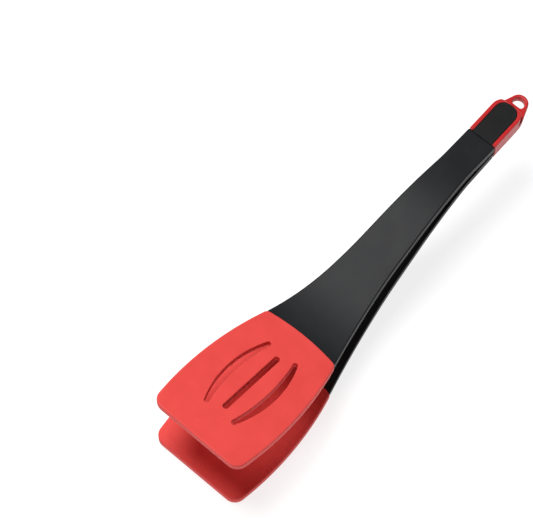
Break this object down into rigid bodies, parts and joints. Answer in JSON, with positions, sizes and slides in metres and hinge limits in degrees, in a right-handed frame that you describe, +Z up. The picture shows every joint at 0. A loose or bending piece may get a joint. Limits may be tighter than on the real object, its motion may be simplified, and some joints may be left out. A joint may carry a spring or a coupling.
{
  "type": "spring loaded kitchen tongs",
  "caption": "Spring loaded kitchen turner tongs with silicone covered spatula heads, swan-necked black arms and a red end cap with a hanging loop.",
  "frame": {"origin": "centre of the bounding box, on the table the lower head lies on", "axes": "+X from the end cap towards the tips, +Y across the heads, +Z up"},
  "size_m": [0.3476, 0.0784, 0.0842],
  "materials": {
    "red_silicone": "matte",
    "red_plastic": "satin",
    "black_nylon": "matte",
    "black_cover": "matte",
    "steel": "brushed",
    "bronze": "satin",
    "washer_plastic": "satin"
  },
  "bodies": {
    "cap": {"end_frame": "red_plastic", "top_cover": "black_cover", "bottom_cover": "black_cover", "cover_screws": "steel", "hinge_pin": "steel", "left_bush": "bronze", "right_bush": "bronze", "left_washer": "washer_plastic", "right_washer": "washer_plastic", "spring_sleeve": "washer_plastic", "torsion_spring": "steel"},
    "upper": {"upper_arm": "black_nylon", "upper_liner": "black_nylon", "upper_core": "steel", "upper_head": "red_silicone"},
    "lower": {"lower_arm": "black_nylon", "lower_liner": "black_nylon", "lower_core": "steel", "lower_head": "red_silicone"}
  },
  "joints": [
    {"name": "upper_hinge", "type": "hinge", "parent": "cap", "child": "upper", "pos_m": [-0.13038, 0, 0.07359], "axis": [0, 1, 0], "range_deg": [0, 5.6], "stiffness_Nm_per_rad": 2.5, "springref_deg": -11.46, "deforming": ["torsion_spring"]},
    {"name": "lower_hinge", "type": "hinge", "parent": "cap", "child": "lower", "pos_m": [-0.13038, 0, 0.07359], "axis": [0, -1, 0], "range_deg": [0, 5.6], "stiffness_Nm_per_rad": 2.5, "springref_deg": -11.46}
  ],
  "couplings": [
    {"joint": "upper_hinge", "follows": "lower_hinge", "ratio": 1}
  ]
}
